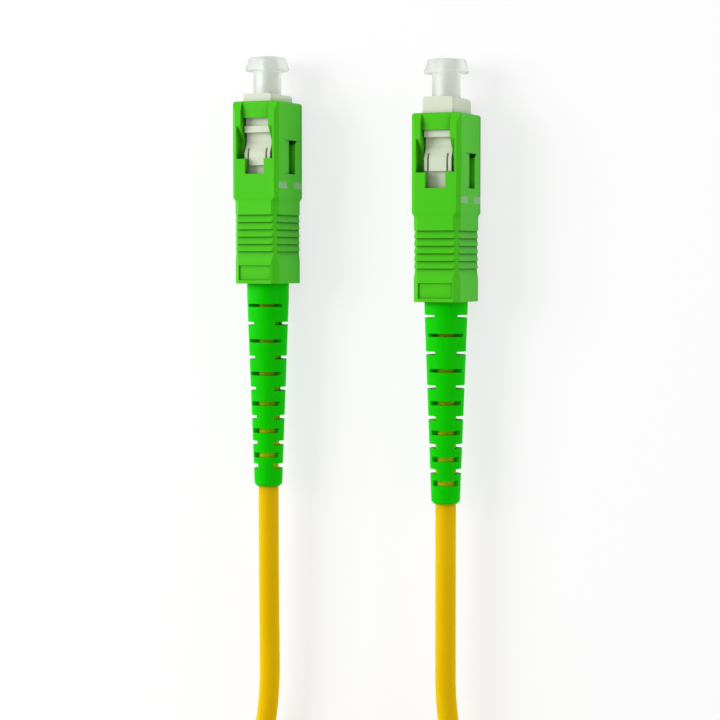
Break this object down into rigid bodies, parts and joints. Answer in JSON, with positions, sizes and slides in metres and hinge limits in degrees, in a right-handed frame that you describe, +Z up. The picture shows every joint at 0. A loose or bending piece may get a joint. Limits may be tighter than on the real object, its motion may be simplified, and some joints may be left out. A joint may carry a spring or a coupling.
{
  "type": "fibre optic patch cable",
  "caption": "Simplex fibre optic patch cable with a capped push-pull, angle-polished plug and a slotted boot at each end, its jacketed cord gathered in a flat coil.",
  "frame": {"origin": "on the floor, at the middle of the box round the two plugs and their boots, without the cord", "axes": "+Y along the plugs towards the ferrule tips, +X towards plug b, +Z up"},
  "size_m": [0.049, 0.1486, 0.009],
  "materials": {
    "cap_plastic": "translucent, soft gloss",
    "sleeve_plastic": "moulded, satin",
    "frame_plastic": "moulded, satin",
    "ferrule_ceramic": "ground and polished",
    "plated_metal": "turned, nickel plated",
    "spring_steel": "drawn wire",
    "yarn": "loose straight yarn",
    "buffer_plastic": "smooth",
    "boot_rubber": "moulded, satin",
    "jacket": "extruded, soft satin"
  },
  "bodies": {
    "cord": {"cable_run_a": "jacket", "cable_run_b": "jacket", "cable_coil": "jacket", "plug_frame_a": "frame_plastic", "stop_ring_a": "plated_metal", "crimp_ring_a": "plated_metal", "aramid_yarn_a": "yarn", "spring_a": "spring_steel", "boot_a": "boot_rubber", "plug_frame_b": "frame_plastic", "stop_ring_b": "plated_metal", "crimp_ring_b": "plated_metal", "aramid_yarn_b": "yarn", "spring_b": "spring_steel", "boot_b": "boot_rubber"},
    "sleeve_a": {"coupling_sleeve_a": "sleeve_plastic"},
    "fibre_a": {"ferrule_a": "ferrule_ceramic", "ferrule_flange_a": "plated_metal", "buffered_fibre_a": "buffer_plastic"},
    "cap_a": {"dust_cap_a": "cap_plastic"},
    "sleeve_b": {"coupling_sleeve_b": "sleeve_plastic"},
    "fibre_b": {"ferrule_b": "ferrule_ceramic", "ferrule_flange_b": "plated_metal", "buffered_fibre_b": "buffer_plastic"},
    "cap_b": {"dust_cap_b": "cap_plastic"}
  },
  "joints": [
    {"name": "sleeve_a_float", "type": "slide", "parent": "cord", "child": "sleeve_a", "axis": [0, 1, 0], "range_m": [-0.00113, 0]},
    {"name": "ferrule_a_push", "type": "slide", "parent": "cord", "child": "fibre_a", "axis": [0, -1, 0], "range_m": [0, 0.001], "stiffness_N_per_m": 1500, "deforming": ["spring_a"]},
    {"name": "cap_a_pull", "type": "slide", "parent": "fibre_a", "child": "cap_a", "axis": [0, 1, 0], "range_m": [0, 0.008]},
    {"name": "sleeve_b_float", "type": "slide", "parent": "cord", "child": "sleeve_b", "axis": [0, 1, 0], "range_m": [0, 0.00113]},
    {"name": "ferrule_b_push", "type": "slide", "parent": "cord", "child": "fibre_b", "axis": [0, -1, 0], "range_m": [0, 0.001], "stiffness_N_per_m": 1500, "deforming": ["spring_b"]},
    {"name": "cap_b_pull", "type": "slide", "parent": "fibre_b", "child": "cap_b", "axis": [0, 1, 0], "range_m": [0, 0.008]}
  ]
}
